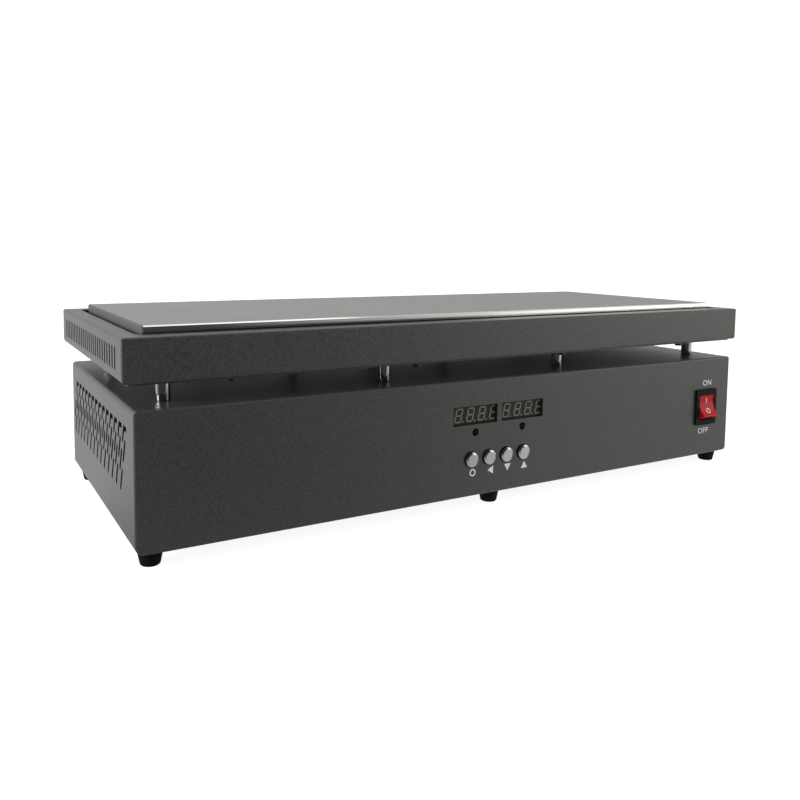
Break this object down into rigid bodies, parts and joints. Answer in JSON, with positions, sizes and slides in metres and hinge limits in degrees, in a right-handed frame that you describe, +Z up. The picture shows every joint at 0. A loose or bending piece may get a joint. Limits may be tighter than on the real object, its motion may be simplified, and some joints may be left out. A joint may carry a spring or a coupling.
{
  "type": "pcb preheater",
  "caption": "Long flat bench heater: an aluminium hot plate in a shallow vented tray on round pillars above a low vented metal case with two displays, push buttons and a rocker switch.",
  "frame": {"origin": "On the floor under the middle of the object.", "axes": "+X to the right along the long side as seen from the front, +Y to the back, +Z up. The control panel faces -Y."},
  "size_m": [0.532, 0.2273, 0.1413],
  "materials": {
    "grey_powder_coat": "dark grey fine-textured powder coat, semi-gloss",
    "black_rubber": "matte moulded rubber",
    "bright_steel": "zinc-plated steel",
    "black_steel": "blackened steel",
    "blasted_aluminium": "fine blasted face with bright cut edges",
    "fibre_board": "pale pressed fibre board",
    "pillar_metal": "turned bright metal",
    "white_ceramic": "unglazed",
    "wire_sleeve": "woven glass sleeve",
    "circuit_board": "solder mask",
    "display_face": "unlit dark grey display face",
    "green_lens": "unlit tinted lens",
    "red_lens": "unlit tinted lens",
    "black_plastic": "moulded black plastic",
    "button_chrome": "plated caps",
    "red_rocker": "translucent red plastic, glossy",
    "contact_brass": "plain brass",
    "core_steel": "varnished laminations",
    "coil_wrap": "tape-wrapped winding",
    "terminal_green": "moulded plastic",
    "fuse_glass": "clear tube",
    "relay_plastic": "moulded plastic"
  },
  "bodies": {
    "heater_stand": {"case_cover": "grey_powder_coat", "base_plate": "grey_powder_coat", "rubber_feet": "black_rubber", "foot_screws": "bright_steel", "foot_nuts": "bright_steel", "tray_cover": "grey_powder_coat", "tray_base": "grey_powder_coat", "tray_screws": "black_steel", "hot_plate": "blasted_aluminium", "plate_spacers": "bright_steel", "plate_screws": "black_steel", "insulation_board": "fibre_board", "support_pillars": "pillar_metal", "pillar_screws_upper": "bright_steel", "pillar_screws_lower": "bright_steel", "cartridge_heaters": "bright_steel", "temperature_probe": "bright_steel", "overheat_thermostat": "white_ceramic", "wire_conduit": "pillar_metal", "heater_loom": "wire_sleeve", "control_board": "circuit_board", "board_spacers": "bright_steel", "board_screws": "bright_steel", "actual_display": "display_face", "set_display": "display_face", "heating_lamp": "green_lens", "overheat_lamp": "red_lens", "tact_switches": "black_plastic", "switch_housing": "black_plastic", "switch_tabs": "contact_brass", "power_board": "circuit_board", "power_board_spacers": "bright_steel", "power_board_screws": "bright_steel", "transformer_core": "core_steel", "transformer_coil": "coil_wrap", "terminal_block": "terminal_green", "fuse": "fuse_glass", "fuse_clips": "contact_brass", "heat_sink": "pillar_metal", "solid_state_relay": "relay_plastic", "mains_inlet": "black_plastic", "inlet_pins": "contact_brass", "inlet_screws": "bright_steel", "mains_leads": "wire_sleeve", "earth_stud": "contact_brass"},
    "rocker_body": {"switch_rocker": "red_rocker"},
    "set_button_body": {"set_button": "button_chrome"},
    "left_button_body": {"left_button": "button_chrome"},
    "down_button_body": {"down_button": "button_chrome"},
    "up_button_body": {"up_button": "button_chrome"}
  },
  "joints": [
    {"name": "rocker_tilt", "type": "hinge", "parent": "heater_stand", "child": "rocker_body", "pos_m": [0.2287, -0.106, 0.052], "axis": [1, 0, 0], "range_deg": [0, 32]},
    {"name": "set_press", "type": "slide", "parent": "heater_stand", "child": "set_button_body", "axis": [0, 1, 0], "range_m": [0, 0.0005], "stiffness_N_per_m": 2000},
    {"name": "left_press", "type": "slide", "parent": "heater_stand", "child": "left_button_body", "axis": [0, 1, 0], "range_m": [0, 0.0005], "stiffness_N_per_m": 2000},
    {"name": "down_press", "type": "slide", "parent": "heater_stand", "child": "down_button_body", "axis": [0, 1, 0], "range_m": [0, 0.0005], "stiffness_N_per_m": 2000},
    {"name": "up_press", "type": "slide", "parent": "heater_stand", "child": "up_button_body", "axis": [0, 1, 0], "range_m": [0, 0.0005], "stiffness_N_per_m": 2000}
  ]
}
